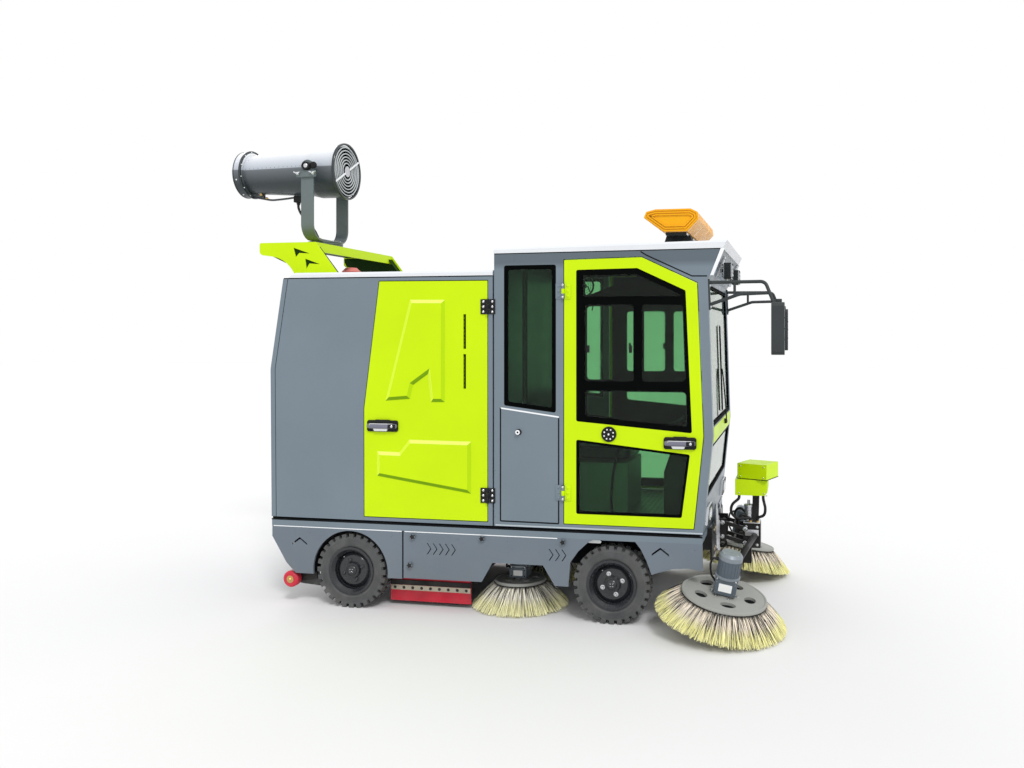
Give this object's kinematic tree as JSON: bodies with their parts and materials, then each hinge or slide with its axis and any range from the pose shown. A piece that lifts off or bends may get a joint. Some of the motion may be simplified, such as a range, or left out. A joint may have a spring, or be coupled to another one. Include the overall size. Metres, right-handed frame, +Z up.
{
  "type": "street sweeper truck",
  "caption": "Compact closed-cab street sweeper truck with flared brushes in front and amidships, a roller brush, hinged doors and a turning mist cannon on the roof.",
  "frame": {"origin": "on the floor under the middle of the whole outline", "axes": "+X forward, +Y to the vehicle's left, +Z up"},
  "size_m": [3.8908, 2.0948, 3.085],
  "materials": {
    "panel_grey": "semi-gloss blue-grey paint",
    "panel_green": "gloss lime-green paint",
    "roof_white": "pale grey paint",
    "frame_black": "satin black paint",
    "axle_steel": "dark cast and forged steel",
    "rim_black": "satin black wheel paint",
    "tyre": "black rubber",
    "glass_tint": "green-tinted safety glass",
    "cabin_plastic": "grained black plastic",
    "seat_cover": "black leatherette",
    "flap_red": "red rubber sheet",
    "roller_red": "red cast polyurethane",
    "brush_mix": "black and yellow bristles in a pale plate",
    "motor_grey": "dark grey paint",
    "cannon_grey": "semi-gloss steel grey paint",
    "amber_lens": "amber lens",
    "lamp_clear": "clear lamp lens",
    "cap_red": "red moulded cap",
    "hose_black": "black hose",
    "lamp_red": "red lens",
    "mirror_shell": "black plastic"
  },
  "bodies": {
    "chassis": {"chassis_frame": "frame_black", "front_axle": "axle_steel", "rear_axle": "axle_steel", "leaf_springs": "axle_steel", "deck": "panel_grey", "side_skirts": "panel_grey", "cab_shell": "panel_grey", "cab_glazing": "glass_tint", "cab_roof": "roof_white", "dashboard": "cabin_plastic", "seat_base": "cabin_plastic", "seat_cushions": "seat_cover", "body_shell": "panel_grey", "body_roof": "roof_white", "battery_block": "cabin_plastic", "brush_chamber": "frame_black", "side_flaps": "flap_red", "mid_brush_hangers": "motor_grey", "cannon_bracket": "panel_green", "light_bar": "amber_lens", "mirrors": "mirror_shell", "front_lamps": "lamp_clear", "tail_lamps": "lamp_red", "roof_cap": "cap_red"},
    "steering_wheel": {"steering_wheel": "cabin_plastic"},
    "tie_rod": {"tie_rod": "axle_steel"},
    "lift_link_lower": {"lift_link_lower": "frame_black"},
    "lift_link_upper": {"lift_link_upper": "frame_black"},
    "brush_carriage": {"brush_carriage": "frame_black", "front_brush_motors": "motor_grey", "front_covers": "panel_green", "front_hoses": "hose_black"},
    "roller_brush": {"roller_brush": "brush_mix"},
    "rear_door": {"rear_door": "panel_grey"},
    "cannon_yoke": {"cannon_yoke": "cannon_grey"},
    "cannon_barrel": {"cannon_barrel": "cannon_grey", "cannon_grille": "cannon_grey"},
    "cannon_fan": {"cannon_fan": "cannon_grey"},
    "knuckle_right": {"knuckle_right": "axle_steel"},
    "wheel_front_right": {"tyre_front_right": "tyre", "rim_front_right": "rim_black"},
    "wheel_rear_right": {"tyre_rear_right": "tyre", "rim_rear_right": "rim_black"},
    "front_brush_right": {"front_brush_right": "brush_mix"},
    "mid_brush_right": {"mid_brush_right": "brush_mix"},
    "bumper_roller_right": {"bumper_roller_right": "roller_red"},
    "cab_door_right": {"cab_door_right": "panel_green", "cab_door_glass_right": "glass_tint"},
    "side_door_right": {"side_door_right": "panel_green"},
    "knuckle_left": {"knuckle_left": "axle_steel"},
    "wheel_front_left": {"tyre_front_left": "tyre", "rim_front_left": "rim_black"},
    "wheel_rear_left": {"tyre_rear_left": "tyre", "rim_rear_left": "rim_black"},
    "front_brush_left": {"front_brush_left": "brush_mix"},
    "mid_brush_left": {"mid_brush_left": "brush_mix"},
    "bumper_roller_left": {"bumper_roller_left": "roller_red"},
    "cab_door_left": {"cab_door_left": "panel_green", "cab_door_glass_left": "glass_tint"},
    "side_door_left": {"side_door_left": "panel_green"}
  },
  "joints": [
    {"name": "steer_right", "type": "hinge", "parent": "chassis", "child": "knuckle_right", "pos_m": [0.908, -0.51, 0.233], "axis": [0, 0, 1], "range_deg": [-30, 30]},
    {"name": "wheel_spin_front_right", "type": "hinge", "parent": "knuckle_right", "child": "wheel_front_right", "pos_m": [0.908, -0.609, 0.233], "axis": [0, 1, 0], "continuous": true},
    {"name": "wheel_spin_rear_right", "type": "hinge", "parent": "chassis", "child": "wheel_rear_right", "pos_m": [-0.772, -0.609, 0.233], "axis": [0, 1, 0], "continuous": true},
    {"name": "front_brush_spin_right", "type": "hinge", "parent": "brush_carriage", "child": "front_brush_right", "pos_m": [1.576, -0.675, 0.20933], "axis": [0.1811, -0.1132, 0.9769], "continuous": true},
    {"name": "mid_brush_spin_right", "type": "hinge", "parent": "chassis", "child": "mid_brush_right", "pos_m": [0.253, -0.375, 0.15], "axis": [0, 0, 1], "continuous": true},
    {"name": "bumper_roller_spin_right", "type": "hinge", "parent": "chassis", "child": "bumper_roller_right", "pos_m": [-1.195, -0.635, 0.158], "axis": [0, 1, 0], "continuous": true},
    {"name": "cab_door_right", "type": "hinge", "parent": "chassis", "child": "cab_door_right", "pos_m": [0.616, -0.685, 1.38], "axis": [0, 0, -1], "range_deg": [0, 75]},
    {"name": "side_door_right", "type": "hinge", "parent": "chassis", "child": "side_door_right", "pos_m": [0.141, -0.685, 1.32], "axis": [0, 0, 1], "range_deg": [0, 100]},
    {"name": "steer_left", "type": "hinge", "parent": "chassis", "child": "knuckle_left", "pos_m": [0.908, 0.51, 0.233], "axis": [0, 0, 1], "range_deg": [-30, 30]},
    {"name": "wheel_spin_front_left", "type": "hinge", "parent": "knuckle_left", "child": "wheel_front_left", "pos_m": [0.908, 0.609, 0.233], "axis": [0, 1, 0], "continuous": true},
    {"name": "wheel_spin_rear_left", "type": "hinge", "parent": "chassis", "child": "wheel_rear_left", "pos_m": [-0.772, 0.609, 0.233], "axis": [0, 1, 0], "continuous": true},
    {"name": "front_brush_spin_left", "type": "hinge", "parent": "brush_carriage", "child": "front_brush_left", "pos_m": [1.576, 0.675, 0.20933], "axis": [0.1811, 0.1132, 0.9769], "continuous": true},
    {"name": "mid_brush_spin_left", "type": "hinge", "parent": "chassis", "child": "mid_brush_left", "pos_m": [0.253, 0.375, 0.15], "axis": [0, 0, 1], "continuous": true},
    {"name": "bumper_roller_spin_left", "type": "hinge", "parent": "chassis", "child": "bumper_roller_left", "pos_m": [-1.195, 0.635, 0.158], "axis": [0, 1, 0], "continuous": true},
    {"name": "cab_door_left", "type": "hinge", "parent": "chassis", "child": "cab_door_left", "pos_m": [0.616, 0.685, 1.38], "axis": [0, 0, 1], "range_deg": [0, 75]},
    {"name": "side_door_left", "type": "hinge", "parent": "chassis", "child": "side_door_left", "pos_m": [0.141, 0.685, 1.32], "axis": [0, 0, -1], "range_deg": [0, 100]},
    {"name": "tie_rod_pivot", "type": "hinge", "parent": "knuckle_right", "child": "tie_rod", "pos_m": [0.778, -0.51, 0.193], "axis": [0, 0, 1], "range_deg": [-30, 30]},
    {"name": "steering_wheel_turn", "type": "hinge", "parent": "chassis", "child": "steering_wheel", "pos_m": [1.22731, 0, 1.16113], "axis": [-0.5299, 0, 0.848], "range_deg": [-360, 360]},
    {"name": "brush_lift", "type": "hinge", "parent": "chassis", "child": "lift_link_lower", "pos_m": [1.518, 0, 0.425], "axis": [0, -1, 0], "range_deg": [0, 25]},
    {"name": "brush_lift_upper", "type": "hinge", "parent": "chassis", "child": "lift_link_upper", "pos_m": [1.518, 0, 0.515], "axis": [0, -1, 0], "range_deg": [0, 25]},
    {"name": "brush_level", "type": "hinge", "parent": "lift_link_lower", "child": "brush_carriage", "pos_m": [1.66289, 0, 0.38618], "axis": [0, -1, 0], "range_deg": [-25, 0]},
    {"name": "roller_brush_spin", "type": "hinge", "parent": "chassis", "child": "roller_brush", "pos_m": [-0.292, 0, 0.178], "axis": [0, 1, 0], "continuous": true},
    {"name": "rear_door", "type": "hinge", "parent": "chassis", "child": "rear_door", "pos_m": [-1.3, 0.685, 1.1], "axis": [0, 0, -1], "range_deg": [0, 110]},
    {"name": "cannon_yaw", "type": "hinge", "parent": "chassis", "child": "cannon_yoke", "pos_m": [-1.322, 0, 2.36], "axis": [0, 0, 1], "range_deg": [-170, 170]},
    {"name": "cannon_tilt", "type": "hinge", "parent": "cannon_yoke", "child": "cannon_barrel", "pos_m": [-1.322, 0, 2.885], "axis": [0, 1, 0], "range_deg": [-15, 45]},
    {"name": "cannon_fan_spin", "type": "hinge", "parent": "cannon_barrel", "child": "cannon_fan", "pos_m": [-1.202, 0, 2.885], "axis": [1, 0, 0], "continuous": true}
  ],
  "couplings": [
    {"joint": "steer_left", "follows": "steer_right", "ratio": 1},
    {"joint": "tie_rod_pivot", "follows": "steer_right", "ratio": -1},
    {"joint": "steering_wheel_turn", "follows": "steer_right", "ratio": 12},
    {"joint": "brush_lift_upper", "follows": "brush_lift", "ratio": 1},
    {"joint": "brush_level", "follows": "brush_lift", "ratio": -1}
  ]
}
